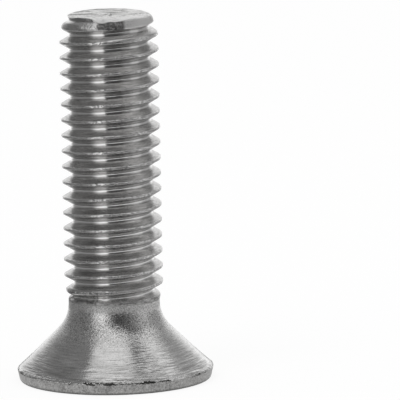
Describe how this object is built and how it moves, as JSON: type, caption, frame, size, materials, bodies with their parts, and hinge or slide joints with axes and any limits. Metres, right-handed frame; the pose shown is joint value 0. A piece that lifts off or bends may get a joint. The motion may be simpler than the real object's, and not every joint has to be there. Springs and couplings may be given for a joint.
{
  "type": "countersunk socket screw",
  "caption": "Steel machine screw with a countersunk head, a hexagon socket in its flat face and a fully threaded shank.",
  "frame": {"origin": "centre of the head's flat face, where the socket opens; the screw stands on that face", "axes": "+Z along the screw's axis from the head face to the threaded end; +X through two corners of the hexagon socket"},
  "size_m": [0.0158, 0.0158, 0.0296],
  "materials": {
    "steel": "bright plain stainless steel, turned on the seat, rolled on the thread and matt on the face"
  },
  "bodies": {
    "root": {"screw": "steel"}
  },
  "joints": []
}
